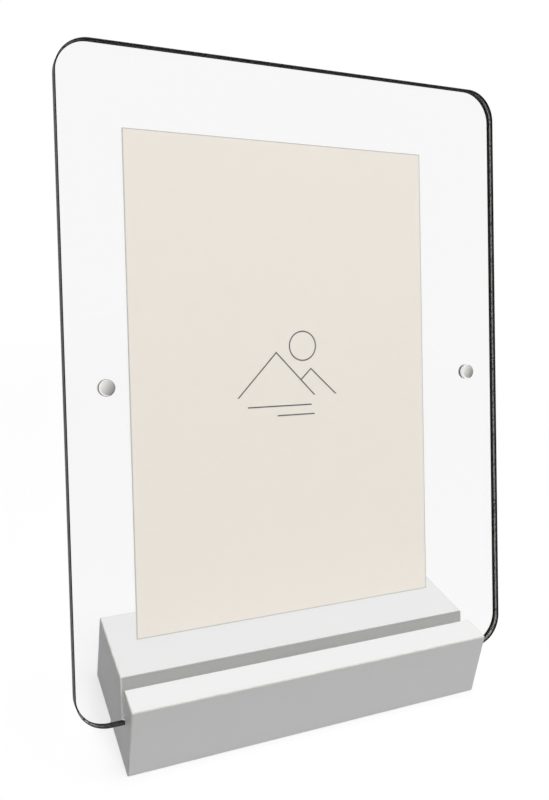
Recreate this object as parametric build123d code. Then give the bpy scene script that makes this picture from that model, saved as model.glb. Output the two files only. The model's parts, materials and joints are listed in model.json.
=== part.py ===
"""Leaning acrylic block frame for one upright 10 x 15 cm print.

Two clear sheets hold the print between them. A magnet in a blind pocket at each side of either
sheet pulls its partner, and so clamps the sheets and the print. The pair of sheets stands in a
slanted slot that is cut along the top of a lacquered base block, a little behind its front.

Sizes are in millimetres. The origin is the centre of the base's underside, +Z is up, +X is the
viewer's right, and the picture side faces -Y.
"""
import os
from math import cos, radians, sin, tan

from build123d import *

# Base block
base_length = 122.5
base_depth = 43.5
base_height = 23.0
base_edge_radius = 0.4
rail_depth = 9.5  # level top of the front rail, from the front face to the slot
slot_depth = 10.4  # down the slot's front wall
slot_clearance = 0.2  # at each face of the pair of sheets
lean_angle = 19.2  # degrees that the sheets lean back from upright

# Clear sheets
sheet_width = 150.0
sheet_height = 195.0
sheet_thickness = 2.0
sheet_corner_radius = 10.0
sheet_edge_chamfer = 0.25

# Print, clamped between the sheets
print_width = 101.5
print_height = 148.0
print_thickness = 0.22
print_clearance = 0.02  # at each face
print_sideways_offset = -5.75  # laid by hand, a little left of the middle

# Magnets, glued into pockets in the inner face of each sheet
magnet_diameter = 5.0
magnet_thickness = 1.0
magnet_chamfer = 0.15
magnet_inset = 11.8  # centre of a magnet, from the sheet's nearer side
glue_clearance = 0.05  # round a magnet and behind it

cut_overrun = 1.0  # how far a cutting solid runs past what it cuts

# Fits that follow from the sizes above
pair_gap = print_thickness + 2 * print_clearance
pair_thickness = 2 * sheet_thickness + pair_gap
slot_width = pair_thickness + 2 * slot_clearance
lean = radians(lean_angle)


def lean_plane():
    """The plane midway between the sheets, with its origin in the middle of the slot's floor.

    Its x is the viewer's right, its y runs up the sheets, and its z points out at the viewer.
    """
    lip_y = rail_depth - base_depth / 2
    floor_y = lip_y + slot_width / 2 * cos(lean) - slot_depth * sin(lean)
    floor_z = base_height - slot_width / 2 * sin(lean) - slot_depth * cos(lean)
    return Plane(origin=(0, floor_y, floor_z), x_dir=(1, 0, 0), z_dir=(0, -cos(lean), sin(lean)))


def base_block():
    """A block with softened edges and one slanted slot, open at the top and at both ends."""
    block = Box(base_length, base_depth, base_height, align=(Align.CENTER, Align.CENTER, Align.MIN))
    block = fillet(block.edges(), base_edge_radius)
    slot_reach = slot_depth + slot_width * tan(lean) + cut_overrun
    slot = Box(
        base_length + 2 * cut_overrun,
        slot_reach,
        slot_width,
        align=(Align.CENTER, Align.MIN, Align.CENTER),
    )
    block = block - lean_plane() * slot
    lips = block.faces().filter_by(Axis.Z).group_by(Axis.Z)[-1].edges().filter_by(Axis.X)
    inner_lips = lips.sort_by(Axis.Y)[1:-1]
    return fillet(inner_lips, base_edge_radius)


def pocket_places():
    """Middle of each magnet pocket in the sheet, named by the side it is on."""
    reach = sheet_width / 2 - magnet_inset
    return {"left": Vector(-reach, sheet_height / 2), "right": Vector(reach, sheet_height / 2)}


def flat_sheet():
    """One sheet lying flat, its inner face on z = 0 and its lower edge on y = 0."""
    outline = Pos(0, sheet_height / 2) * RectangleRounded(sheet_width, sheet_height, sheet_corner_radius)
    plate = extrude(outline, sheet_thickness)
    rims = plate.faces().filter_by(Axis.Z).edges()
    plate = chamfer(rims, sheet_edge_chamfer)
    pocket_radius = magnet_diameter / 2 + glue_clearance
    pocket_depth = magnet_thickness + glue_clearance
    for centre in pocket_places().values():
        pocket = Cylinder(
            pocket_radius,
            pocket_depth + cut_overrun,
            align=(Align.CENTER, Align.CENTER, Align.MIN),
        )
        plate = plate - Pos(centre.X, centre.Y, -cut_overrun) * pocket
    return plate


def flat_magnet(centre):
    """One disc magnet in its pocket, flush with the inner face of a sheet that lies flat."""
    disc = Cylinder(
        magnet_diameter / 2,
        magnet_thickness,
        align=(Align.CENTER, Align.CENTER, Align.MIN),
    )
    disc = chamfer(disc.edges().filter_by(GeomType.CIRCLE), magnet_chamfer)
    return Pos(centre.X, centre.Y) * disc


def flat_print():
    """The card, centred on the height of the sheets."""
    middle = Pos(print_sideways_offset, sheet_height / 2)
    return middle * Box(print_width, print_height, print_thickness)


def build_parts():
    """Every piece in its place, by node name. The rear half mirrors the front half."""
    leaning = lean_plane()
    half = {"sheet": flat_sheet()}
    for side, centre in pocket_places().items():
        half[f"magnet_{side}"] = flat_magnet(centre)
    parts = {"base_block": base_block(), "photo_print": leaning * flat_print()}
    for name, shape in half.items():
        in_front = Pos(0, 0, pair_gap / 2) * shape
        parts[f"front_{name}"] = leaning * in_front
        parts[f"rear_{name}"] = leaning * mirror(in_front, Plane.XY)
    return parts


os.makedirs("parts", exist_ok=True)
for node, shape in build_parts().items():
    export_step(shape, f"parts/{node}.step")
    box = shape.bounding_box()
    print(f"{node}: {shape.volume:.1f} mm3, from {box.min} to {box.max}")
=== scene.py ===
# %% [markdown]
# # A leaning acrylic block frame
#
# The frame is a white lacquered block with a slanted slot. Two clear sheets stand in the slot,
# hold a card between them, and are held together by four small disc magnets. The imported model
# gives every size and place, so the lesson starts by loading it. Lengths are in metres.

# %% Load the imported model
import json
from math import cos, degrees, hypot, pi, radians, sin

import bmesh
import bpy
from mathutils import Euler, Matrix, Vector


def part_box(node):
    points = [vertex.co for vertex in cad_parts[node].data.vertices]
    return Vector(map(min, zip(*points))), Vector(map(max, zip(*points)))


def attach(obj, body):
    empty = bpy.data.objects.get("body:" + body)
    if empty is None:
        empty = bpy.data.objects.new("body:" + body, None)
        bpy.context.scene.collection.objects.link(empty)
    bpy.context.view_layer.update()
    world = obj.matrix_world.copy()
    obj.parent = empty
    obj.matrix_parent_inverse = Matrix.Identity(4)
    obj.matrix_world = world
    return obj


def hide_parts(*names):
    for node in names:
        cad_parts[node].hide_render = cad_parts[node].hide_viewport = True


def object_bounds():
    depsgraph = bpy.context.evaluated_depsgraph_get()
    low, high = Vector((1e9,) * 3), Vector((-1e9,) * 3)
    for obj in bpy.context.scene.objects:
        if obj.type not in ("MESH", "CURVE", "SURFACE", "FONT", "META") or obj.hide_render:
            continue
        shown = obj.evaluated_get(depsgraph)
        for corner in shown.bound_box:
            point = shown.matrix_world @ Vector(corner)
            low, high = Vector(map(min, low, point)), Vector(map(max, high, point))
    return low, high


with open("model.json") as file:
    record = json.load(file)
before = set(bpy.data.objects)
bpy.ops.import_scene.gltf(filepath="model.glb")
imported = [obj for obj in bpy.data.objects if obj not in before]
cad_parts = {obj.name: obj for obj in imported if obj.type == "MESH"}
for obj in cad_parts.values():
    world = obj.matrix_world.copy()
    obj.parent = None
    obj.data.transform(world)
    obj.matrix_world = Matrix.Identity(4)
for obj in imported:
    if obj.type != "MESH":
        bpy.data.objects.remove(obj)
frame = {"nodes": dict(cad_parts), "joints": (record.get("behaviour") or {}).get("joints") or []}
cad_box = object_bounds()
MM = 0.001
print("nodes:", ", ".join(sorted(frame["nodes"])))

# %% [markdown]
# ## The camera
#
# The camera comes first, because everything that is judged by eye is judged through it. It
# stands close to the frame, to the left and above, so the lens is fairly wide and the upright
# lines converge. It is turned in three steps, as a tripod head is: heading, tilt, then roll.
# The lens is written as a focal length for a picture whose long side is 36 mm.

# %% Camera
camera_place = Vector((-110.75, -187.51, 189.03)) * MM
camera_heading = radians(-25.87)
camera_tilt = radians(70.43)
camera_roll = radians(6.94)
camera_data = bpy.data.cameras.new("camera")
camera_data.sensor_width = 36
camera_data.lens = 35.145
camera_data.shift_y = -0.0364
camera_data.clip_start = 0.01
camera = bpy.data.objects.new("camera", camera_data)
turned = Euler((0, 0, camera_heading)).to_matrix() @ Euler((camera_tilt, 0, 0)).to_matrix()
turned = turned @ Euler((0, 0, camera_roll)).to_matrix()
camera.matrix_world = Matrix.Translation(camera_place) @ turned.to_4x4()
bpy.context.scene.collection.objects.link(camera)
bpy.context.scene.camera = camera
print(f"camera: {camera_place.length:.3f} m from the block's foot, {camera_data.lens:.1f} mm lens")

# %% [markdown]
# ## The lean
#
# The sheets, the card and the magnets lean back together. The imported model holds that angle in
# its joints, because whatever can move slides along the lean. Three directions at right angles
# make the matrix that tips a flat drawing back: to the viewer's right, up the lean, and out
# at the viewer. Taking the angle from the joint keeps it right if the frame is redesigned.

# %% Direction of the lean
right = Vector((1, 0, 0))
upright = Vector((0, 0, 1))
up_the_lean = Vector(frame["joints"][0]["axis"]).normalized()
towards_viewer = right.cross(up_the_lean)
tipped = Matrix((right, up_the_lean, towards_viewer)).transposed()
print(f"leans back {degrees(up_the_lean.angle(upright)):.1f} degrees")

# %% [markdown]
# ## The flat drawing
#
# A leaning piece is easiest to model lying flat, and is tipped into place as the last step.
# The drawing's origin is the middle of the slot's floor, where the sheets stand. Its x is the
# viewer's right, its y runs up the sheets, and its z points out at the viewer.

# %% Flat drawing
def flat_points(node):
    """A node's points, turned back so that the leaning plane lies flat."""
    return [tipped.transposed() @ v.co for v in frame["nodes"][node].data.vertices]


def corners(points):
    """Lowest and highest corner of some points."""
    low = Vector(min(p[axis] for p in points) for axis in range(3))
    high = Vector(max(p[axis] for p in points) for axis in range(3))
    return low, high


front_points = flat_points("front_sheet")
front_low, front_high = corners(front_points)
rear_low = corners(flat_points("rear_sheet"))[0]
slot_floor = tipped @ Vector((0, front_low.y, (front_high.z + rear_low.z) / 2))
into_place = Matrix.Translation(slot_floor) @ tipped.to_4x4()
onto_drawing = into_place.inverted()


def flat_box(node):
    """A node's lowest and highest corner in the flat drawing."""
    return corners([onto_drawing @ v.co for v in frame["nodes"][node].data.vertices])


print("slot floor at", [round(c / MM, 2) for c in slot_floor], "mm")

# %% [markdown]
# ## Wiring materials
#
# A material is a small graph of nodes. Four helpers keep each graph readable: they add a node
# with its inputs, wire the last node, do arithmetic with Math nodes, and mix two colours. The
# alternative is to link every socket by hand, which hides the idea.

# %% Node helpers
def add(tree, kind, inputs=None, **settings):
    """Add one node. An input is a plain value, or the output of another node."""
    node = tree.nodes.new(kind)
    for name, value in settings.items():
        setattr(node, name, value)
    for name, value in (inputs or {}).items():
        if isinstance(value, bpy.types.NodeSocket):
            tree.links.new(value, node.inputs[name])
        else:
            node.inputs[name].default_value = value
    return node


def wire(tree, node, **outputs):
    """Link outputs of other nodes to a node's inputs. A space in a name is written _ here."""
    for socket, output in outputs.items():
        tree.links.new(output, node.inputs[socket.replace("_", " ")])


def maths(tree, operation, *values):
    """The output of a Math node."""
    return add(tree, "ShaderNodeMath", dict(enumerate(values)), operation=operation).outputs[0]


def blend_colour(tree, share, first, second):
    """A colour between two others. Sockets 6 and 7 of the Mix node are its two colours."""
    node = add(tree, "ShaderNodeMix", {0: share, 6: first, 7: second}, data_type="RGBA")
    return node.outputs[2]


print("helpers: add, wire, maths, blend_colour")

# %% [markdown]
# ## A new material
#
# Every finish here is one Principled shader. What is the same all over a surface, such as the
# index of the acrylic, is set on the shader's own socket. Only what changes from place to
# place is wired, so the graphs stay small and the model can be exported.

# %% New material
def surface(name, **values):
    """A new material with one Principled shader, whose sockets take the given values."""
    material = bpy.data.materials.new(name)
    material.use_nodes = True
    shader = material.node_tree.nodes["Principled BSDF"]
    for socket, value in values.items():
        shader.inputs[socket.replace("_", " ")].default_value = value
    return material, material.node_tree, shader


print("helper: surface")

# %% [markdown]
# ## A grain that several finishes share
#
# Nothing is perfectly even up close. This node group gives any finish a fine and a broad mask
# that wander between 0 and 1, for its colour, its roughness or the height of a bump. It reads
# Object coordinates, which are metres here, so a feature's size is a real size. A group is
# built once and placed in each material with its own values.

# %% Grain group
def new_group(name, inputs, outputs):
    """An empty shader node group. Its sockets are given as names and kinds of socket."""
    group = bpy.data.node_groups.new(name, "ShaderNodeTree")
    for in_out, sockets in (("INPUT", inputs), ("OUTPUT", outputs)):
        for label, kind in sockets.items():
            group.interface.new_socket(label, in_out=in_out, socket_type=f"NodeSocket{kind}")
    return group, group.nodes.new("NodeGroupInput"), group.nodes.new("NodeGroupOutput")


def grain_group():
    """Fine and broad unevenness, from a grain size in metres."""
    kinds = {"Size": "Float", "Broad": "Float"}
    group, given, result = new_group("grain", kinds, {"Fine": "Float", "Broad": "Float"})
    place = add(group, "ShaderNodeTexCoord").outputs["Object"]
    fine_scale = maths(group, "DIVIDE", 1.0, given.outputs["Size"])
    fine = add(group, "ShaderNodeTexNoise", {"Vector": place, "Scale": fine_scale, "Detail": 3.0})
    broad_scale = maths(group, "DIVIDE", fine_scale, given.outputs["Broad"])
    broad = add(group, "ShaderNodeTexNoise", {"Vector": place, "Scale": broad_scale, "Detail": 2.0})
    wire(group, result, Fine=fine.outputs["Fac"], Broad=broad.outputs["Fac"])
    return group


GRAIN = grain_group()


def grain(tree, size, broad=20.0):
    """The grain group, placed in a material. Broad is how many grains wide the broad mask is."""
    return add(tree, "ShaderNodeGroup", {"Size": size, "Broad": broad}, node_tree=GRAIN)


print("grain group:", [socket.name for socket in GRAIN.interface.items_tree])

# %% [markdown]
# ## From a mask to a finish
#
# A noise mask mostly stays near its middle, so it is seldom used as it comes. One helper moves
# it into the range that a finish needs, such as a roughness between two values. The next turns
# it into patches with soft borders. The last makes relief from it: a bump changes only the
# way light falls, which is right for marks of a hundredth of a millimetre.

# %% Masks and relief
def between(tree, mask, low, high):
    """A 0 to 1 mask, moved to run from low to high."""
    values = {"Value": mask, "To Min": low, "To Max": high}
    return add(tree, "ShaderNodeMapRange", values).outputs["Result"]


def ramp(tree, value, low, high):
    """0 below the low value, 1 above the high one, and a smooth step between them."""
    values = {"Value": value, "From Min": low, "From Max": high}
    node = add(tree, "ShaderNodeMapRange", values, interpolation_type="SMOOTHSTEP")
    return node.outputs["Result"]


def bump(tree, height, distance):
    """A bumped normal from a height mask. Distance is the depth of the relief in metres."""
    return add(tree, "ShaderNodeBump", {"Height": height, "Distance": distance}).outputs["Normal"]


print("helpers: between, ramp, bump")

# %% [markdown]
# ## Wear and painted shade on the block
#
# The block is lacquered white. On its sharp arrises the coat is thin, and a faint tan of the
# wood shows through in patches. The slot's mouth is painted grey as painted shade, and the
# grey fades on the way down. Where the wear and the shade lie could be painted in a texture, or
# worked out from the shape by the shader. Here the model will mark its own faces with two
# attributes, because it knows which faces are arrises, and the masks read the marks.

# %% Wear and painted shade masks
ARRIS = "arris"
SLOT = "slot"
block_low, block_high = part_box("base_block")
slot_mouth = 4.5 * MM
worn_patch = 2.5 * MM
most_worn = 1.4


def worn_arris(tree):
    """How much tan shows at the rounded edges."""
    edge = add(tree, "ShaderNodeAttribute", attribute_name=ARRIS).outputs["Fac"]
    patchy = between(tree, grain(tree, worn_patch).outputs["Fine"], 0.0, most_worn)
    return maths(tree, "MULTIPLY", edge, patchy)


def painted_slot_shade(tree):
    """How much painted shade the slot gets: as marked at its mouth, and none deep down."""
    in_slot = add(tree, "ShaderNodeAttribute", attribute_name=SLOT).outputs["Fac"]
    place = add(tree, "ShaderNodeTexCoord").outputs["Object"]
    height = add(tree, "ShaderNodeSeparateXYZ", {"Vector": place}).outputs["Z"]
    at_mouth = ramp(tree, height, block_high.z - 2 * slot_mouth, block_high.z - slot_mouth / 2)
    return maths(tree, "MULTIPLY", in_slot, at_mouth)


print("block top at", round(block_high.z / MM, 2), "mm")

# %% [markdown]
# ## White lacquer
#
# A sprayed satin coat has a shallow orange peel, and its white is never quite even. Both come
# from the grain: its fine mask gives the peel and the change in gloss, its broad mask the
# change in shade. The wear, and the painted shade in the slot, are mixed over the white.

# %% Lacquer material
lacquer_white = (0.74, 0.74, 0.738)
worn_tan = (0.61, 0.585, 0.54, 1)
# The slot's grey is painted shade, standing for the shade that falls in the slot.
painted_shade_grey = (0.37, 0.37, 0.36, 1)
uneven_shade = (0.985, 1.015)
satin_roughness = (0.42, 0.52)
peel_size = 1.2 * MM
peel_depth = 0.01 * MM


def lacquer():
    material, tree, shader = surface("white_lacquer", Specular_IOR_Level=0.2)
    peel = grain(tree, peel_size)
    shade = between(tree, peel.outputs["Broad"], *uneven_shade)
    values = {0: lacquer_white, "Scale": shade}
    white = add(tree, "ShaderNodeVectorMath", values, operation="SCALE").outputs[0]
    # The slot's painted shade goes over the white, then the worn tan over both.
    white_with_slot_shade = blend_colour(tree, painted_slot_shade(tree), white, painted_shade_grey)
    colour = blend_colour(tree, worn_arris(tree), white_with_slot_shade, worn_tan)
    roughness = between(tree, peel.outputs["Fine"], *satin_roughness)
    normal = bump(tree, peel.outputs["Fine"], peel_depth)
    wire(tree, shader, Base_Color=colour, Roughness=roughness, Normal=normal)
    return material


white_lacquer = lacquer()
print("material:", white_lacquer.name)

# %% [markdown]
# ## Clear acrylic
#
# The faces are clear and slightly grey. The index is set below acrylic's own 1.49, which keeps
# the bending and the reflections as faint as they look on this frame. Leaving the faces out
# would be simpler, but they carry the tint and a trace of reflection that show a sheet.

# %% Clear faces
sheet_index = 1.1
face_tint = (0.964, 0.964, 0.964, 1)
faint_tint = (0.97, 0.97, 0.97, 1)
film_size = 6 * MM


def clear_face():
    """Clear acrylic whose tint wanders a little."""
    clear = {"Transmission_Weight": 1.0, "IOR": sheet_index, "Roughness": 0.0}
    material, tree, shader = surface("clear_acrylic", **clear)
    film = grain(tree, film_size).outputs["Broad"]
    wire(tree, shader, Base_Color=blend_colour(tree, film, face_tint, faint_tint))
    return material


clear_acrylic = clear_face()
print("sheet index", sheet_index)

# %% [markdown]
# ## Marks on a cut edge
#
# Light that enters a sheet is trapped and leaves nothing to see at the rim, which looks almost
# black, so the rim is painted near black as painted shade. Up close the saw and the polish have
# left faint marks. Both sheets have such an edge, with another gloss, so the marks and tones are
# a group. The long sides are painted darker than the top and bottom, as painted shade: the sheet
# will be marked sideways, 1 down its long sides and 0 along its ends.

# %% Cut edge group
SIDEWAYS = "sideways"
# Both tones are painted shade: near black for the light trapped in the sheet, and darker on the long
# sides than on the ends.
side_rim = ((0.003, 0.003, 0.003, 1), (0.012, 0.012, 0.012, 1))
end_rim = ((0.014, 0.014, 0.014, 1), (0.06, 0.059, 0.057, 1))
cut_size = 0.6 * MM
cut_breadth = 6.0
cut_marks = (0.35, 0.7)


def cut_edge_group():
    """Cut marks, and the painted shade of an edge, darker down its long sides."""
    kinds = {"Colour": "Color", "Marks": "Float", "Fine": "Float", "Broad": "Float"}
    group, given, result = new_group("cut_edge", {"Sideways": "Float"}, kinds)
    fine, broad = grain(group, cut_size, cut_breadth).outputs
    marks = ramp(group, fine, *cut_marks)
    ends = blend_colour(group, marks, *end_rim)
    sides = blend_colour(group, marks, *side_rim)
    colour = blend_colour(group, given.outputs["Sideways"], ends, sides)
    wire(group, result, Colour=colour, Marks=marks, Fine=fine, Broad=broad)
    return group


CUT_EDGE = cut_edge_group()
print("cut edge group:", [socket.name for socket in CUT_EDGE.interface.items_tree])

# %% [markdown]
# ## Dark rims
#
# From outside a rim has a soft sheen, from within the sheet it has none. The Backfacing output
# tells the two apart, and takes the coat away on the inside. The rear sheet is the duller one,
# so its sheen is broader and lighter.

# %% Rim materials
glossy_sheen = (0.12, 0.3)
dull_sheen = (0.3, 0.55)
cut_roughness = (0.35, 0.6)
cut_depth = 0.01 * MM


def dark_rim(name, sheen_range):
    """An edge finish. Its sheen is a coat on its outside only."""
    material, tree, shader = surface(name, Specular_IOR_Level=0.05, Coat_Roughness=0.25)
    share = add(tree, "ShaderNodeAttribute", attribute_name=SIDEWAYS).outputs["Fac"]
    cut = add(tree, "ShaderNodeGroup", {"Sideways": share}, node_tree=CUT_EDGE)
    colour, marks, fine, broad = cut.outputs
    within = add(tree, "ShaderNodeNewGeometry").outputs["Backfacing"]
    sheen = between(tree, marks, *sheen_range)
    coat = maths(tree, "MULTIPLY", maths(tree, "SUBTRACT", 1.0, within), sheen)
    roughness = between(tree, broad, *cut_roughness)
    wire(tree, shader, Base_Color=colour, Coat_Weight=coat, Roughness=roughness)
    wire(tree, shader, Normal=bump(tree, fine, cut_depth))
    return material


glossy_rim = dark_rim("glossy_rim", glossy_sheen)
dull_rim = dark_rim("dull_rim", dull_sheen)
print("rims:", glossy_rim.name, dull_rim.name)

# %% [markdown]
# ## The seam: chips and painted light
#
# The front sheet has the saw's marks beside its inner face. They show between the two dark
# rims as a seam: pale grey down the long sides, which is painted light, and dark along the
# top and bottom. Real chips would be thousands of tiny faces, and a mask with tight limits
# gives the same flecks. The few highest of them are tan.

# %% Seam material
seam_dark = (0.06, 0.059, 0.057, 1)
# The pale tone is painted light on the seam's long sides.
seam_painted_light = (0.42, 0.41, 0.395, 1)
seam_tan = (0.42, 0.34, 0.25, 1)
chip_size = 0.7 * MM
chip_breadth = 4.0
chip_depth = 0.02 * MM
chip_marks = (0.34, 0.56)
tan_marks = (0.62, 0.68)


def seam_chips_and_painted_light():
    """The sawn strip of the front sheet, flecked with painted light down the long sides and dark at
    the ends.
    """
    material, tree, shader = surface("seam_chips_and_painted_light", Roughness=0.7, Specular_IOR_Level=0.1)
    cut = grain(tree, chip_size, chip_breadth).outputs["Fine"]
    share = add(tree, "ShaderNodeAttribute", attribute_name=SIDEWAYS).outputs["Fac"]
    chips = ramp(tree, cut, *chip_marks)
    painted_light_flecks = blend_colour(tree, chips, seam_dark, seam_painted_light)
    flecked = blend_colour(tree, ramp(tree, cut, *tan_marks), painted_light_flecks, seam_tan)
    colour = blend_colour(tree, share, blend_colour(tree, chips, *end_rim), flecked)
    wire(tree, shader, Base_Color=colour, Normal=bump(tree, cut, chip_depth))
    return material


flecked_seam_and_light = seam_chips_and_painted_light()
print("material:", flecked_seam_and_light.name)

# %% [markdown]
# ## Glue round the magnets
#
# Each magnet is glued into its pocket with clear glue, a hair's breadth thick. An index of 1
# makes it vanish as real glue does between two clear things. Without it the pocket's wall
# would show as a ring.

# %% Glue material
def glue_line():
    """Clear glue that shows as nothing."""
    clear = {"Transmission_Weight": 1.0, "IOR": 1.0, "Roughness": 0.0}
    return surface("clear_glue", Base_Color=(1, 1, 1, 1), **clear)[0]


clear_glue = glue_line()
print("material:", clear_glue.name)

# %% [markdown]
# ## A drawing made by arithmetic
#
# The card carries a small line drawing of a sun over two hills. It could be an image, but lines
# that are worked out stay sharp at any distance. Each line is a distance, and where that
# distance is under half a line's width there is ink. Lengths here are in millimetres.

# %% Line helper
line_width = 0.42
border_width = 0.3
soft_side = 0.12


def near(tree, distance, half_width):
    """1 where a distance is under a half width, and 0 beyond it, with a soft border."""
    values = {"Value": maths(tree, "ABSOLUTE", distance), "From Min": half_width - soft_side / 2}
    values.update({"From Max": half_width + soft_side / 2, "To Min": 1.0, "To Max": 0.0})
    return add(tree, "ShaderNodeMapRange", values).outputs["Result"]


print("line width:", line_width, "mm")

# %% [markdown]
# ## Hills, sun and ground
#
# A hill is two slopes that fall from a peak: the higher, the nearer to its middle. The distance
# to a slope is the height above it, shortened by the slope's steepness. Hills are drawn from
# front to back, and each hides what lies behind it, so the sun comes last. The ground is two
# level strokes.

# %% Line drawing
sun_middle = (5.2, 10.5, 0)
sun_radius = 4.6
hill_foot = -5.0
hills = [(-4.0, 8.6, 1.05), (8.0, 3.2, 0.95)]
ground_lines = [(-8.2, -3.0, 11.0), (-11.2, 2.5, 6.5)]


def above_the_hill(tree, across, up, hill):
    """How far a point lies above a hill's slope."""
    middle, peak, slope = hill
    aside = maths(tree, "ABSOLUTE", maths(tree, "SUBTRACT", across, middle))
    ridge = maths(tree, "SUBTRACT", peak, maths(tree, "MULTIPLY", aside, slope))
    return maths(tree, "DIVIDE", maths(tree, "SUBTRACT", up, ridge), hypot(1, slope))


def line_drawing(tree, across, up, place):
    """A mask of the ink lines: two hills, the sun and the ground."""
    half = line_width / 2
    above_foot = maths(tree, "GREATER_THAN", up, hill_foot - half)
    not_hidden = 1.0
    drawn = []
    for hill in hills:
        over = above_the_hill(tree, across, up, hill)
        line = maths(tree, "MULTIPLY", near(tree, over, half), above_foot)
        drawn.append(maths(tree, "MULTIPLY", line, not_hidden))
        not_hidden = maths(tree, "MULTIPLY", maths(tree, "GREATER_THAN", over, half), not_hidden)
    from_sun = add(tree, "ShaderNodeVectorMath", {0: place, 1: sun_middle}, operation="DISTANCE")
    sun_ring = maths(tree, "SUBTRACT", from_sun.outputs["Value"], sun_radius)
    drawn.append(maths(tree, "MULTIPLY", near(tree, sun_ring, half), not_hidden))
    for height, middle, reach in ground_lines:
        on_line = near(tree, maths(tree, "SUBTRACT", up, height), half)
        along = near(tree, maths(tree, "SUBTRACT", across, middle), reach)
        drawn.append(maths(tree, "MULTIPLY", on_line, along))
    ink = drawn[0]
    for line in drawn[1:]:
        ink = maths(tree, "MAXIMUM", ink, line)
    return ink


print("lines in the drawing:", len(hills) + 1 + len(ground_lines))

# %% [markdown]
# ## The card
#
# The print is cream card with a thin grey line at its border, and the drawing in its middle.
# A Mapping node of type Texture turns the leaning card flat and changes metres to millimetres.
# The same helper will serve the magnets. Only the side that faces the viewer is printed.

# %% Card material
card_low, card_high = flat_box("photo_print")
card_size = card_high - card_low
card_middle = into_place @ ((card_low + card_high) / 2)
card_cream = (0.978, 0.922, 0.841, 1)
card_shade = (0.966, 0.91, 0.828, 1)
ink_grey = (0.12, 0.118, 0.115, 1)
border_grey = (0.62, 0.6, 0.57, 1)
fibre_size = 0.35 * MM
fibre_breadth = 12.0
fibre_depth = 0.015 * MM


def laid_flat(tree, middle, unit):
    """Object coordinates, turned flat and measured from a middle in units of some metres."""
    place = add(tree, "ShaderNodeTexCoord").outputs["Object"]
    values = {"Vector": place, "Location": middle, "Rotation": tipped.to_euler()}
    values["Scale"] = (unit, unit, unit)
    return add(tree, "ShaderNodeMapping", values, vector_type="TEXTURE").outputs["Vector"]


def card():
    material, tree, shader = surface("cream_card", Roughness=0.85, Specular_IOR_Level=0.15)
    flat = laid_flat(tree, card_middle, MM)
    across, up, out = add(tree, "ShaderNodeSeparateXYZ", {"Vector": flat}).outputs
    side_edge = maths(tree, "SUBTRACT", card_size.x / MM / 2, maths(tree, "ABSOLUTE", across))
    end_edge = maths(tree, "SUBTRACT", card_size.y / MM / 2, maths(tree, "ABSOLUTE", up))
    border = near(tree, maths(tree, "MINIMUM", side_edge, end_edge), border_width)
    printed_side = maths(tree, "GREATER_THAN", out, 0.0)
    ink = maths(tree, "MULTIPLY", line_drawing(tree, across, up, flat), printed_side)
    fine, broad = grain(tree, fibre_size, fibre_breadth).outputs
    cream = blend_colour(tree, broad, card_cream, card_shade)
    outlined = blend_colour(tree, border, cream, border_grey)
    colour = blend_colour(tree, ink, outlined, ink_grey)
    wire(tree, shader, Base_Color=colour, Normal=bump(tree, fine, fibre_depth))
    return material


cream_card = card()
print("card:", [round(side / MM, 2) for side in card_size], "mm")

# %% [markdown]
# ## Shapes on a disc
#
# The magnets are nickel plated, and their faces are brushed in one slanting direction. Brushed
# lines are noise that is stretched: fine across the lines and long along them. The bright and
# dark parts of a face need two more shapes. One is how far a point lies towards one side. The
# other is a circle that is moved a little, because what is left between two such circles is a
# crescent. Everything is measured in disc radii, so one set of numbers suits any disc.

# %% Disc masks
brush_turn = radians(-52)
brush_stretch = (0.5, 7, 1)
brush_scale = 1.3
crescent_turn = radians(10)


def brushed_lines(tree, flat):
    """Noise that is stretched along the brushed direction."""
    values = {"Vector": flat, "Rotation": (0, 0, -brush_turn)}
    along = add(tree, "ShaderNodeMapping", values).outputs["Vector"]
    values = {"Vector": along, "Scale": brush_stretch}
    stretched = add(tree, "ShaderNodeMapping", values).outputs["Vector"]
    values = {"Vector": stretched, "Scale": brush_scale, "Detail": 2.0}
    return add(tree, "ShaderNodeTexNoise", values).outputs["Fac"]


def circle(tree, flat, shift, low, high):
    """1 outside a circle that is moved away from the crescents, with a soft border."""
    values = {0: flat, 1: (shift * cos(crescent_turn), shift * sin(crescent_turn), 0)}
    reach = add(tree, "ShaderNodeVectorMath", values, operation="DISTANCE").outputs["Value"]
    return ramp(tree, reach, low, high)


def towards(tree, flat, turn):
    """How far a point lies in one direction, from -1 to 1."""
    values = {0: flat, 1: (cos(turn), sin(turn), 0)}
    return add(tree, "ShaderNodeVectorMath", values, operation="DOT_PRODUCT").outputs["Value"]


print(f"brushed at {degrees(brush_turn):.0f} degrees")

# %% [markdown]
# ## Painted light and shade of the brushed plate
#
# A face turns from pale at the left to grey at the lower right, with a thin dark crescent at
# its left rim, a bright one just inside that, and a touch of tan low at the right. All of these
# are painted: the turn from pale to grey is painted light and shade, the bright crescent is a
# painted highlight, and the dark crescent and the tan are painted shade. A mirror shows
# whatever stands round it, and this one stands in a white room, so these tones are painted into
# the plate's colour. Four discs share them, so they are a group.

# %% Brushed disc group
# These tones are painted light and shade: pale to deep across the face, bright for the painted
# highlight, dark and tan for painted shade.
nickel_painted_light = (0.95, 0.95, 0.95, 1)
nickel_pale = (0.98, 0.955, 0.92, 1)
nickel_deep = (0.2, 0.2, 0.2, 1)
nickel_painted_shade = (0.16, 0.157, 0.15, 1)
tan_painted_shade = (0.27, 0.225, 0.17, 1)
tone_turn = radians(-32)
tan_turn = radians(-38)
line_contrast = 0.12
bright_crescent = (0.2, 0.86, 0.98)
dark_crescent = (0.06, 0.94, 0.97)
outer_ring = (0.0, 0.86, 0.92)
tan_corner = (0.75, 0.9)


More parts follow.
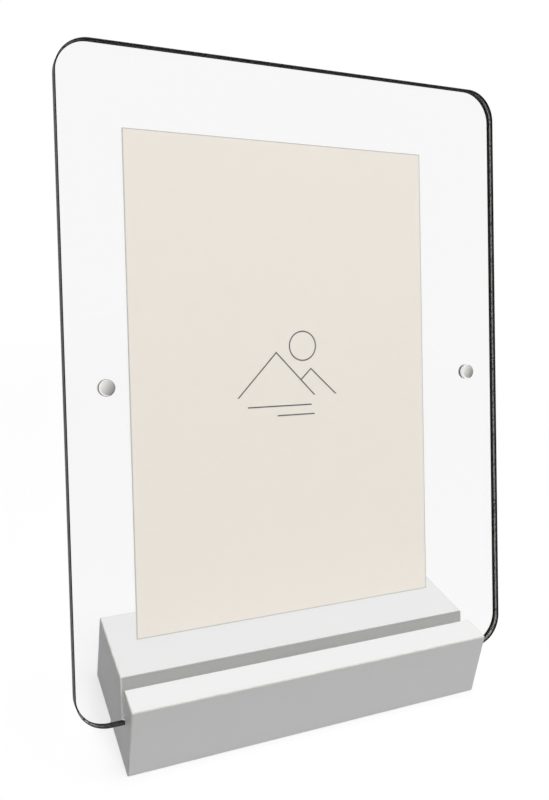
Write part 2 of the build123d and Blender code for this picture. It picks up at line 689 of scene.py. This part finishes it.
def brushed_disc_group():
    """The painted light and shade of a disc's face. Place is measured in radii, and Rim tones the
    crescent at its left rim.
    """
    kinds = {"Place": "Vector", "Rim": "Color"}
    group, given, result = new_group("brushed_disc", kinds, {"Colour": "Color", "Lines": "Float"})
    values = {0: given.outputs["Place"], 1: (1, 1, 0)}
    flat = add(group, "ShaderNodeVectorMath", values, operation="MULTIPLY").outputs["Vector"]
    lines = brushed_lines(group, flat)
    across = maths(group, "MULTIPLY_ADD", towards(group, flat, tone_turn), 0.5, 0.5)
    toned = maths(group, "ADD", across, between(group, lines, -line_contrast, line_contrast))
    plate = blend_colour(group, toned, nickel_pale, nickel_deep)
    # A painted highlight inside the rim, the crescent in the Rim tone, and painted tan shade low at
    # the right.
    glinting = blend_colour(group, circle(group, flat, *bright_crescent), plate, nickel_painted_light)
    crescent = circle(group, flat, *dark_crescent)
    rimmed = blend_colour(group, crescent, glinting, given.outputs["Rim"])
    low_right = ramp(group, towards(group, flat, tan_turn), *tan_corner)
    at_rim = maths(group, "MULTIPLY", circle(group, flat, *outer_ring), low_right)
    wire(group, result, Colour=blend_colour(group, at_rim, rimmed, tan_painted_shade), Lines=lines)
    return group


BRUSHED_DISC = brushed_disc_group()
print("brushed disc group:", [socket.name for socket in BRUSHED_DISC.interface.items_tree])

# %% [markdown]
# ## The face of one disc
#
# Each disc has its own place, so each gets its own material around the shared group. It is
# laid flat as the card was, but measured in its own radii from its own middle.

# %% Nickel face
brushed_roughness = (0.22, 0.4)
brushed_depth = 0.01 * MM


def nickel_face(name, middle, radius, rim_tone):
    """Brushed plate for the two faces of one disc, centred on that disc."""
    material, tree, shader = surface(name, Metallic=1.0)
    values = {"Place": laid_flat(tree, middle, radius), "Rim": rim_tone}
    colour, lines = add(tree, "ShaderNodeGroup", values, node_tree=BRUSHED_DISC).outputs
    roughness = between(tree, lines, *brushed_roughness)
    normal = bump(tree, lines, brushed_depth)
    wire(tree, shader, Base_Color=colour, Roughness=roughness, Normal=normal)
    return material


print("helper: nickel_face")

# %% [markdown]
# ## The side of a disc
#
# One magnet of each pair has painted shade round its side: the front one at the left and the
# rear one at the right. The other has painted light there. Seen through the sheet the painted
# shade gives the disc its dark outline on one side. The side isn't brushed, so it has patches
# from the grain in place of lines.

# %% Nickel side
nickel_soft = (0.9, 0.9, 0.9, 1)
patch_size = 0.5 * MM
patch_breadth = 3.0
patch_marks = (0.4, 0.6)
side_roughness = (0.12, 0.25)
dark_half = {"left": "front", "right": "rear"}


def nickel_side(name, first, second):
    """Plate for the side of a disc, in patches of two tones."""
    material, tree, shader = surface(name, Metallic=1.0)
    fine, broad = grain(tree, patch_size, patch_breadth).outputs
    colour = blend_colour(tree, ramp(tree, broad, *patch_marks), first, second)
    wire(tree, shader, Base_Color=colour, Roughness=between(tree, fine, *side_roughness))
    return material


# The bright side is painted light and the dark side painted shade.
bright_side = nickel_side("nickel_bright_side", nickel_soft, nickel_painted_light)
dark_side = nickel_side("nickel_dark_side", nickel_painted_shade, tan_painted_shade)
print("sides:", bright_side.name, dark_side.name)

# %% [markdown]
# ## Making pieces
#
# Each piece is drawn flat in a bmesh, tipped into place, and becomes an object at the origin.
# Faces keep a material number from the drawing, so one mesh can have several finishes. Smooth
# shading blends each face into its neighbours. That is right for the narrow strips of a bevel,
# but a broad face next to one would look domed, so the broad faces are shaded flat.

# %% Piece helper
broad_face = 1 * MM
sharp_angle = radians(30)


def make_piece(name, bm, materials, place, body, node):
    """Turn a finished bmesh into an object that rides on a body and stands for a CAD node."""
    bmesh.ops.recalc_face_normals(bm, faces=bm.faces)
    bm.transform(place)
    narrow = [2 * face.calc_area() / face.calc_perimeter() < broad_face for face in bm.faces]
    mesh = bpy.data.meshes.new(name)
    bm.to_mesh(mesh)
    bm.free()
    for material in materials:
        mesh.materials.append(material)
    mesh.set_sharp_from_angle(angle=sharp_angle)
    mesh.polygons.foreach_set("use_smooth", narrow)
    piece = bpy.data.objects.new(name, mesh)
    bpy.context.scene.collection.objects.link(piece)
    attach(piece, body)
    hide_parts(node)
    print(f"{name}: {len(mesh.polygons)} faces, rides on {body}")
    return piece


print("helper: make_piece")

# %% [markdown]
# ## The slot
#
# The slot was sawn along the whole block, at the same angle as the sheets, and a little wider
# than the pair of them. Its section has four corners. The two on its floor lie half its width
# in front of and behind the middle, and the two lips are found by going up the lean from
# there to the top of the block.

# %% Slot corners
slot_clearance = 0.2 * MM
half_slot = (front_high.z - rear_low.z) / 2 + slot_clearance


def slot_corner(out):
    """The floor corner and the lip of the slot's wall at a distance in front of its middle."""
    foot = slot_floor + towards_viewer * out
    rise = (block_high.z - foot.z) / up_the_lean.z
    return foot, foot + up_the_lean * rise


front_foot, front_lip = slot_corner(half_slot)
rear_foot, rear_lip = slot_corner(-half_slot)
print("slot:", round(2 * half_slot / MM, 2), "mm wide")

# %% [markdown]
# ## The block
#
# A block of constant section is best made from its section: draw the outline on one end, pull
# it along, and round the outer edges. Cutting the slot out of a box would need a Boolean and
# leave its lips to be rounded one by one. The faces of the rounding get the arris mark.

# %% Block shape
arris_radius = 0.4 * MM


def shaped_block():
    """The block with its slot and its softened edges."""
    outline = [
        (block_low.y, block_low.z), (block_high.y, block_low.z), (block_high.y, block_high.z),
        (rear_lip.y, rear_lip.z), (rear_foot.y, rear_foot.z), (front_foot.y, front_foot.z),
        (front_lip.y, front_lip.z), (block_low.y, block_high.z),
    ]
    bm = bmesh.new()
    end = bm.faces.new([bm.verts.new((block_low.x, y, z)) for y, z in outline])
    pulled = bmesh.ops.extrude_face_region(bm, geom=[end])["geom"]
    moved = [part for part in pulled if isinstance(part, bmesh.types.BMVert)]
    bmesh.ops.translate(bm, verts=moved, vec=(block_high.x - block_low.x, 0, 0))
    bmesh.ops.recalc_face_normals(bm, faces=bm.faces)
    mark = bm.faces.layers.float.new(ARRIS)
    outer = [edge for edge in bm.edges if edge.is_convex]
    rounded = bmesh.ops.bevel(
        bm, geom=outer, offset=arris_radius, affect="EDGES", segments=3, profile=0.5, material=-1
    )
    for face in rounded["faces"]:
        face[mark] = 1.0
    return bm


print("arris radius:", round(arris_radius / MM, 2), "mm")

# %% [markdown]
# ## Painted shade round the slot
#
# The sheets lean on the slot's rear lip, which gets painted shade all over, and touch its walls,
# which get less painted shade. The lip has no tan, and neither have the slot's edges in the two
# ends of the block, below the top. A face is found by its place in the flat drawing, where the
# slot stands straight.

# %% Slot marks
# How strong the painted shade is on the slot's walls and on its rear lip.
walls_painted_shade = 0.65
lip_painted_shade = 1.0
end_facing = 0.1


def mark_the_slot(bm):
    """Say how much painted shade the slot's walls and rear lip get, and take the tan off its worn
    edges.
    """
    mark = bm.faces.layers.float[ARRIS]
    in_slot = bm.faces.layers.float.new(SLOT)
    for face in bm.faces:
        middle = face.calc_center_median()
        flat = onto_drawing @ middle
        if abs(flat.z) > half_slot + arris_radius or flat.y < -arris_radius:
            continue
        if abs(face.normal.x) > end_facing:
            if block_high.z - middle.z >= arris_radius:
                face[mark] = 0.0
        elif face[mark] == 0.0:
            face[in_slot] = walls_painted_shade
        elif flat.z < 0:
            face[mark] = 0.0
            face[in_slot] = lip_painted_shade


still = Matrix.Identity(4)
block = shaped_block()
mark_the_slot(block)
make_piece("lacquered_block", block, [white_lacquer], still, "base", "base_block")

# %% [markdown]
# ## Sizes of a clear sheet
#
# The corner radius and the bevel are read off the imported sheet. The straight part of its top
# edge stops a radius short of the side, and the flat part of its side stops a bevel short of
# the face.

# %% Sheet sizes
tiny = 0.01 * MM
glue_gap = 0.05 * MM
sheet_high = flat_box("front_sheet")[1]
on_top_edge = [p.x for p in front_points if front_high.y - p.y < tiny]
corner_radius = sheet_high.x - max(on_top_edge)
on_side = [p.z for p in front_points if front_high.x - p.x < tiny]
edge_bevel = min(on_side) - front_low.z
print("corner radius", round(corner_radius / MM, 2), "mm, bevel", round(edge_bevel / MM, 2), "mm")

# %% [markdown]
# ## A rounded plate
#
# A sheet starts as one square face. Rounding its four corners and pulling it up gives a plate,
# and a small bevel breaks the sharp edges. The corners come first, while the plate is flat,
# because a corner of a flat face is rounded in one step.

# %% Rounded plate
corner_steps = 16
square_edge = radians(80)


def rounded_plate(low, high):
    """A plate with round corners and broken edges, between two corners of the flat drawing."""
    size = high - low
    middle = (low + high) / 2
    bm = bmesh.new()
    bmesh.ops.create_grid(bm, x_segments=1, y_segments=1, size=0.5)
    bmesh.ops.scale(bm, vec=(size.x, size.y, 1), verts=bm.verts)
    bmesh.ops.bevel(
        bm, geom=bm.verts[:], offset=corner_radius, affect="VERTICES", segments=corner_steps,
        profile=0.5, material=-1,
    )
    pulled = bmesh.ops.extrude_face_region(bm, geom=bm.faces[:])["geom"]
    moved = [part for part in pulled if isinstance(part, bmesh.types.BMVert)]
    bmesh.ops.translate(bm, verts=moved, vec=(0, 0, size.z))
    bmesh.ops.translate(bm, verts=bm.verts, vec=(middle.x, middle.y, low.z))
    bmesh.ops.recalc_face_normals(bm, faces=bm.faces)
    sharp = [edge for edge in bm.edges if edge.calc_face_angle() > square_edge]
    bmesh.ops.bevel(
        bm, geom=sharp, offset=edge_bevel, affect="EDGES", segments=1, profile=0.5, material=-1
    )
    return bm


print("faces round a corner:", corner_steps)

# %% [markdown]
# ## Lines for the sawn strip
#
# The seam's finish, its chips and its painted light, covers part of the side and a narrow strip
# of the inner face. A finish can only stop at an edge of the mesh, so two edges are added. A
# bisecting plane cuts a line round the side, and an inset draws the strip. Neither changes the
# shape.

# %% Saw lines
sawn_width = 0.22 * MM
saw_reach = 0.75 * MM
flat_facing = 0.9


def inner_first(face):
    """A sheet's inner face is the one nearer to the plane between the sheets."""
    return abs(face.calc_center_median().z)


def draw_saw_lines(bm, low, high):
    """A line round the side, and a strip round the inner face."""
    saw_line = low.z + saw_reach if low.z > 0 else high.z - saw_reach
    everything = bm.verts[:] + bm.edges[:] + bm.faces[:]
    bmesh.ops.bisect_plane(bm, geom=everything, plane_co=(0, 0, saw_line), plane_no=(0, 0, 1))
    inner = min((face for face in bm.faces if abs(face.normal.z) > flat_facing), key=inner_first)
    bmesh.ops.inset_region(bm, faces=[inner], thickness=sawn_width, use_even_offset=True)


print(f"sawn: {sawn_width / MM:.2f} mm of the face, {saw_reach / MM:.2f} mm of the side")

# %% [markdown]
# ## Pockets for the magnets
#
# The pockets are bored with a Boolean, which is the plain way to make a round hole in a flat
# face. The drill is a cylinder for each magnet, a little wider and longer than the magnet, so
# that it comes clear out of the inner face.

# %% Boring
round_steps = 64


def mesh_of(bm, name):
    """A bmesh as a temporary object, for a modifier to work with."""
    mesh = bpy.data.meshes.new(name)
    bm.to_mesh(mesh)
    bm.free()
    thing = bpy.data.objects.new(name, mesh)
    bpy.context.scene.collection.objects.link(thing)
    return thing


def drill_for(half):
    """One cylinder for each magnet of a half."""
    drill = bmesh.new()
    for side in ("left", "right"):
        low, high = flat_box(f"{half}_magnet_{side}")
        radius = (high.x - low.x) / 2 + glue_gap
        bmesh.ops.create_cone(
            drill, cap_ends=True, segments=round_steps, radius1=radius, radius2=radius,
            depth=high.z - low.z + 2 * glue_gap, matrix=Matrix.Translation((low + high) / 2),
        )
    return drill


def bored(bm, drill):
    """The plate with its pockets, as a new bmesh."""
    plate = mesh_of(bm, "plate")
    cutter = mesh_of(drill, "drill")
    boring = plate.modifiers.new("pockets", "BOOLEAN")
    boring.operation = "DIFFERENCE"
    boring.solver = "EXACT"
    boring.object = cutter
    worked_out = plate.evaluated_get(bpy.context.evaluated_depsgraph_get())
    result = bmesh.new()
    result.from_mesh(bpy.data.meshes.new_from_object(worked_out))
    for thing in (plate, cutter):
        bpy.data.objects.remove(thing)
    return result


print("glue gap:", round(glue_gap / MM, 2), "mm")

# %% [markdown]
# ## Which finish a face gets
#
# A face's place tells its finish. Far from the sheet's core it is part of the rim, or sawn if
# it is near the inner face of the front sheet. On the outer or the inner face it is clear. What
# is left, inside the sheet, are the walls of the pockets. The rear sheet's outer bevel is clear
# too, so that the dark starts only where its side does.

# %% Finish by place
CLEAR, RIM, SEAM, GLUED = range(4)


def past(value, low, high):
    """How far a value lies beyond a range."""
    return value - min(max(value, low), high)


def off_the_core(point, low, high):
    """The way from a sheet's core, which is inside all its round corners, out to a point."""
    across = past(point.x, low.x + corner_radius, high.x - corner_radius)
    up = past(point.y, low.y + corner_radius, high.y - corner_radius)
    return Vector((across, up))


def at_height(face, height, reach=0.0):
    """For each corner of a face, whether it lies within reach of a height."""
    return [abs(v.co.z - height) < reach + tiny for v in face.verts]


def finish_of(face, out, inner_z, outer_z):
    """The finish of a face that lies some way out from the sheet's core."""
    at_the_back = outer_z < 0
    at_the_rim = out > corner_radius - edge_bevel - sawn_width / 2
    on_outer = at_height(face, outer_z)
    on_inner = all(at_height(face, inner_z))
    clear_outside = any(on_outer) if at_the_back else all(on_outer)
    if clear_outside:
        return CLEAR
    if not at_the_rim:
        return CLEAR if on_inner else GLUED
    sawn = all(at_height(face, inner_z, saw_reach)) and not on_inner
    return SEAM if sawn and not at_the_back else RIM


print("material numbers:", CLEAR, RIM, SEAM, GLUED)

# %% [markdown]
# ## Marking the sides
#
# The rim's painted shade and the seam's painted light depend on the way that a face faces. The
# mark called sideways is 1 on the long sides and 0 on the ends, and changes round the corners.
# On the side of the sheet the seam's painted light is weaker than on the arris, so the mark is
# lowered there.

# %% Side marks
weaker_side_light = 0.55


def finish_faces(bm, low, high):
    """Give each face of a sheet its finish and its mark."""
    sideways = bm.faces.layers.float.new(SIDEWAYS)
    inner_z, outer_z = sorted((low.z, high.z), key=abs)
    for face in bm.faces:
        outward = off_the_core(face.calc_center_median(), low, high)
        face[sideways] = min(1.0, 2 * (outward.x / max(outward.length, tiny)) ** 2)
        out = max(off_the_core(v.co, low, high).length for v in face.verts)
        face.material_index = finish_of(face, out, inner_z, outer_z)
        if face.material_index == SEAM and not any(at_height(face, inner_z)):
            face[sideways] *= weaker_side_light


print("marks on the side are lowered to", weaker_side_light)

# %% [markdown]
# ## The two sheets
#
# Both sheets go through the same steps, and differ in their rim. They throw no shadow and send
# no light on: a renderer gives clear things a grey shadow, and a real thin sheet hardly has one.

# %% Both sheets
def let_light_pass(piece):
    """Keep a piece from darkening or tinting what is near it."""
    piece.visible_shadow = False
    piece.visible_diffuse = False


def sheet(half, rim):
    node = f"{half}_sheet"
    low, high = flat_box(node)
    plate = rounded_plate(low, high)
    draw_saw_lines(plate, low, high)
    bm = bored(plate, drill_for(half))
    bmesh.ops.recalc_face_normals(bm, faces=bm.faces)
    finish_faces(bm, low, high)
    finishes = [clear_acrylic, rim, flecked_seam_and_light, clear_glue]
    name = f"clear_{half}_sheet"
    piece = make_piece(name, bm, finishes, into_place, f"{half}_half", node)
    let_light_pass(piece)


sheet("front", glossy_rim)
sheet("rear", dull_rim)

# %% [markdown]
# ## The print
#
# The card is a thin plate, and what makes it look real is its cut edge, which is softened by
# a bevel of a few hundredths of a millimetre. It lets light pass as the sheets do.

# %% Print card
card_edge = 0.04 * MM


def print_card():
    middle = (card_low + card_high) / 2
    bm = bmesh.new()
    bmesh.ops.create_cube(bm, size=1)
    bmesh.ops.scale(bm, vec=card_size, verts=bm.verts)
    bmesh.ops.bevel(
        bm, geom=bm.edges[:], offset=card_edge, affect="EDGES", segments=2, profile=0.5, material=-1
    )
    place = into_place @ Matrix.Translation(middle)
    piece = make_piece("print_card", bm, [cream_card], place, "print", "photo_print")
    let_light_pass(piece)


print_card()

# %% [markdown]
# ## The magnets
#
# A magnet is a disc with a bevelled rim. It could be spun from a section, but a cylinder whose
# two rims are bevelled has the same faces. The flat faces and their bevels are brushed, and
# the side between the bevels has a finish of its own.

# %% Magnets
magnet_bevel = 0.15 * MM
rim_edge = radians(60)


def magnet_shape(radius, thickness):
    """A disc with bevelled rims. Finish 0 is for its two faces, and 1 for its side."""
    bm = bmesh.new()
    bmesh.ops.create_cone(
        bm, cap_ends=True, segments=round_steps, radius1=radius, radius2=radius, depth=thickness
    )
    rims = [edge for edge in bm.edges if edge.calc_face_angle() > rim_edge]
    bmesh.ops.bevel(
        bm, geom=rims, offset=magnet_bevel, affect="EDGES", segments=2, profile=0.5, material=-1
    )
    side_ends = thickness / 2 - magnet_bevel - tiny
    for face in bm.faces:
        face.material_index = 0 if abs(face.calc_center_median().z) > side_ends else 1
    return bm


def magnet(half, side):
    node = f"{half}_magnet_{side}"
    low, high = flat_box(node)
    middle = (low + high) / 2
    radius = (high.x - low.x) / 2
    # One magnet of each pair gets painted shade on its side and crescent, the other painted light.
    dark = half == dark_half[side]
    side_finish, rim_tone = (dark_side, nickel_painted_shade) if dark else (bright_side, nickel_painted_light)
    face_finish = nickel_face(f"nickel_{half}_{side}", into_place @ middle, radius, rim_tone)
    bm = magnet_shape(radius, high.z - low.z)
    finishes = [face_finish, side_finish]
    place = into_place @ Matrix.Translation(middle)
    make_piece(f"disc_{half}_{side}", bm, finishes, place, f"{half}_half", node)


for half in ("front", "rear"):
    for side in ("left", "right"):
        magnet(half, side)

# %% [markdown]
# ## What counts as looking at the background
#
# The background has to look white, but a floor and a sky that are white lamps would flood the
# frame with light. The Light Path node tells which rays only show the background: those from
# the camera, those that a mirror sends on, and those through something clear. For the others
# it can be dim.

# %% Background rays
def seen_directly(tree):
    """1 for the rays that show a background: straight, mirrored, or through something clear."""
    path = add(tree, "ShaderNodeLightPath")
    seen = maths(tree, "MAXIMUM", path.outputs["Is Camera Ray"], path.outputs["Is Glossy Ray"])
    return maths(tree, "MAXIMUM", seen, path.outputs["Is Transmission Ray"])


print("helper: seen_directly")

# %% [markdown]
# ## The floor
#
# The floor has to look white and still show a shadow. Close to the frame it is a grey surface
# that the lamps light, plus a glow that only the rays above see, and together they come to
# white. Away from the frame the glow alone makes white, so that the floor meets the white
# world with no horizon.

# %% Floor
floor_reach = 3.0
shadow_start = 0.2
shadow_end = 0.45
floor_grey = 0.3
floor_light = 1.17


def floor_finish():
    """Lit grey near the frame, and a glow that fills up what is missing to white."""
    material, tree, shader = surface(
        "floor", Roughness=1.0, Specular_IOR_Level=0.0, Emission_Color=(1, 1, 1, 1)
    )
    place = add(tree, "ShaderNodeTexCoord").outputs["Object"]
    reach = add(tree, "ShaderNodeVectorMath", {0: place}, operation="LENGTH").outputs["Value"]
    values = {"Value": reach, "From Min": shadow_start, "From Max": shadow_end}
    values.update({"To Min": floor_grey, "To Max": 0.0})
    grey = add(tree, "ShaderNodeMapRange", values, interpolation_type="SMOOTHSTEP").outputs["Result"]
    colour = add(tree, "ShaderNodeCombineColor", {0: grey, 1: grey, 2: grey}).outputs["Color"]
    missing = maths(tree, "SUBTRACT", 1.0, maths(tree, "MULTIPLY", grey, floor_light))
    glow = maths(tree, "MULTIPLY", seen_directly(tree), missing)
    wire(tree, shader, Base_Color=colour, Emission_Strength=glow)
    return material


def floor():
    """A round floor, far wider than the picture."""
    bm = bmesh.new()
    bmesh.ops.create_circle(bm, cap_ends=True, segments=round_steps, radius=floor_reach)
    mesh = bpy.data.meshes.new("floor")
    bm.to_mesh(mesh)
    bm.free()
    mesh.materials.append(floor_finish())
    ground = bpy.data.objects.new("floor", mesh)
    bpy.context.scene.collection.objects.link(ground)


floor()
print("floor radius:", floor_reach, "m")

# %% [markdown]
# ## The world
#
# The world is white to look at and dim as a light, so that the lamps alone shape the object.

# %% World
dim_light = 0.08


def white_world():
    """White rays for the background, and dim light for the rest."""
    world = bpy.data.worlds.new("studio")
    world.use_nodes = True
    tree = world.node_tree
    background = tree.nodes["Background"]
    background.inputs["Color"].default_value = (1, 1, 1, 1)
    wire(tree, background, Strength=between(tree, seen_directly(tree), dim_light, 1.0))
    bpy.context.scene.world = world


white_world()
print("world light:", dim_light)

# %% [markdown]
# ## The lamps
#
# Five large soft lamps: a strong one above, one in front, a low one behind that lights only
# what faces backwards, and a weak one at each side. No mirror and no clear thing shows them. A
# lamp's power is worked out from the light that should arrive: a white surface that faces an
# area lamp of P watts at a distance d is lit to P / (pi * pi * d * d) of its own colour. The
# Standard view shows colours as they are written.

# %% Lamps
def soft_lamp(name, place, size, level):
    """A square lamp that faces the frame. Level is 1 where a colour should look as written."""
    data = bpy.data.lights.new(name, "AREA")
    data.size = size
    aim = Vector((0, 0, (cad_box[0][2] + cad_box[1][2]) / 2))
    away = Vector(place) - aim
    data.energy = level * pi * pi * away.length_squared
    lamp = bpy.data.objects.new(name, data)
    lamp.matrix_world = Matrix.Translation(place) @ away.to_track_quat("Z", "Y").to_matrix().to_4x4()
    lamp.visible_camera = False
    lamp.visible_glossy = False
    lamp.visible_transmission = False
    bpy.context.scene.collection.objects.link(lamp)
    print(f"{name}: {data.energy:.1f} W at {away.length:.2f} m")


soft_lamp("lamp_above", (0, -0.1, 2.0), size=1.2, level=0.81)
soft_lamp("lamp_front", (-0.05, -1.5, 1.6), size=1.0, level=0.49)
soft_lamp("lamp_left", (-1.5, -0.3, 0.9), size=0.8, level=0.045)
soft_lamp("lamp_right", (1.4, -0.3, 1.0), size=0.8, level=0.13)
soft_lamp("lamp_back", (0.5, 1.6, 0.2), size=0.35, level=0.5)
bpy.context.scene.view_settings.view_transform = "Standard"
